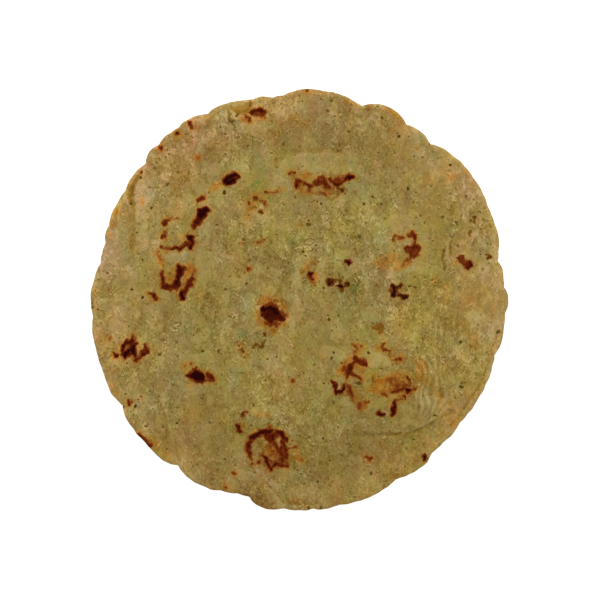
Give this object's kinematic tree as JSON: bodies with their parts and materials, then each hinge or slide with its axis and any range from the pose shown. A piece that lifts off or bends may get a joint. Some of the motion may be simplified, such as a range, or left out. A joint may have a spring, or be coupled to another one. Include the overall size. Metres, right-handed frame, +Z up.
{
  "type": "corn and nopal tostada",
  "caption": "Thin round baked flatbread of corn masa and nopal, lying flat, with a lobed rim, blisters and scorched spots.",
  "frame": {"origin": "middle of the round's outline, on the plane that its underside rests on", "axes": "+Z up out of the blistered upper face; +Y towards the edge that is at the top of the picture, +X towards its right edge"},
  "size_m": [0.1392, 0.1404, 0.0045],
  "materials": {
    "baked_masa": "matt baked corn and nopal dough, with scorched spots"
  },
  "bodies": {
    "root": {"tostada": "baked_masa"}
  },
  "joints": []
}
